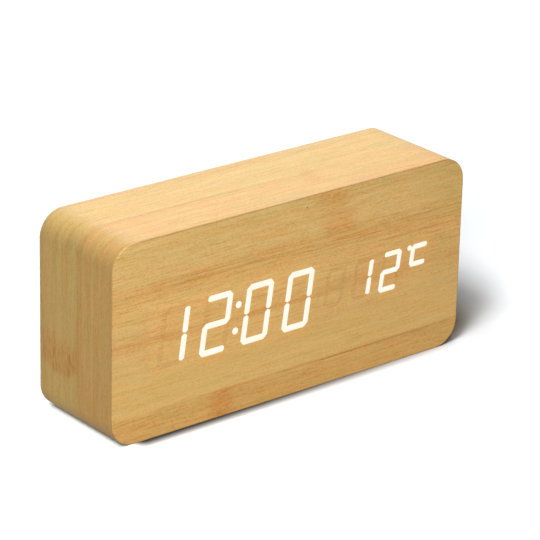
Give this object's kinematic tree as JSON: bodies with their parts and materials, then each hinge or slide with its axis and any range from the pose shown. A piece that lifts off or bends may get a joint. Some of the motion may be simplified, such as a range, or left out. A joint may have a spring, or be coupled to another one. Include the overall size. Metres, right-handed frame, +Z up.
{
  "type": "digital desk clock",
  "caption": "Bamboo-veneered block desk clock: a seven-segment time and temperature display lit through the front veneer, with a black back cover, cell door and buttons.",
  "frame": {"origin": "middle of the base, under the middle of the case's depth", "axes": "+X to the right of someone who faces the display, +Y from the display to the back cover, +Z up"},
  "size_m": [0.15, 0.04, 0.07],
  "materials": {
    "bamboo_face": "satin bamboo veneer",
    "bamboo_band": "satin bamboo veneer",
    "fibreboard": "sanded fibreboard",
    "black_plastic": "fine moulded grain",
    "button_plastic": "satin",
    "reflector_plastic": "matt",
    "light_guide": "milky resin",
    "circuit_board": "green solder resist on glass-fibre board",
    "steel": "zinc plated",
    "black_steel": "blackened steel",
    "nickel": "nickel plated",
    "chip_body": "moulded epoxy",
    "header_plastic": "satin",
    "ribbon_grey": "satin",
    "capacitor_sleeve": "shrink sleeve",
    "thermistor_glass": "dipped bead",
    "cell_jacket": "printed metal jacket, unmarked",
    "red_lead": "wire insulation",
    "black_lead": "wire insulation"
  },
  "bodies": {
    "case": {"front_veneer": "bamboo_face", "band_veneer": "bamboo_band", "case_ring": "fibreboard", "front_board": "fibreboard", "reflector": "reflector_plastic", "light_guide_hour_tens": "light_guide", "light_guide_hour_units": "light_guide", "light_guide_colon": "light_guide", "light_guide_minute_tens": "light_guide", "light_guide_minute_units": "light_guide", "light_guide_reading_hundreds": "light_guide", "light_guide_reading_tens": "light_guide", "light_guide_reading_units": "light_guide", "light_guide_degree_sign": "light_guide", "display_board": "circuit_board", "display_screw_1": "steel", "display_screw_2": "steel", "display_screw_3": "steel", "display_screw_4": "steel", "display_header": "header_plastic", "ribbon_cable": "ribbon_grey", "control_header": "header_plastic", "control_board": "circuit_board", "board_screw_1": "steel", "board_screw_2": "steel", "board_screw_3": "steel", "board_screw_4": "steel", "microcontroller": "chip_body", "crystal": "nickel", "capacitor": "capacitor_sleeve", "buzzer": "chip_body", "microphone": "nickel", "thermistor": "thermistor_glass", "power_socket_shell": "nickel", "power_socket_tongue": "chip_body", "set_switch_body": "steel", "up_switch_body": "steel", "down_switch_body": "steel", "back_cover": "black_plastic", "cover_screw_1": "black_steel", "cover_screw_2": "black_steel", "cover_screw_3": "black_steel", "cover_screw_4": "black_steel", "battery_cell_1": "cell_jacket", "battery_cell_2": "cell_jacket", "battery_cell_3": "cell_jacket", "contact_plus": "nickel", "contact_bridge_right": "nickel", "contact_bridge_left": "nickel", "contact_minus": "nickel", "battery_lead_red": "red_lead", "battery_lead_black": "black_lead"},
    "battery_door": {"battery_door": "black_plastic"},
    "set_button": {"set_button": "button_plastic", "set_switch_plunger": "chip_body"},
    "up_button": {"up_button": "button_plastic", "up_switch_plunger": "chip_body"},
    "down_button": {"down_button": "button_plastic", "down_switch_plunger": "chip_body"}
  },
  "joints": [
    {"name": "battery_door_hinge", "type": "hinge", "parent": "case", "child": "battery_door", "pos_m": [0.06095, 0.019, 0.035], "axis": [0, 0, -1], "range_deg": [0, 70]},
    {"name": "set_button_press", "type": "slide", "parent": "case", "child": "set_button", "axis": [0, -1, 0], "range_m": [0, 0.0005], "stiffness_N_per_m": 1000},
    {"name": "up_button_press", "type": "slide", "parent": "case", "child": "up_button", "axis": [0, -1, 0], "range_m": [0, 0.0005], "stiffness_N_per_m": 1000},
    {"name": "down_button_press", "type": "slide", "parent": "case", "child": "down_button", "axis": [0, -1, 0], "range_m": [0, 0.0005], "stiffness_N_per_m": 1000}
  ]
}
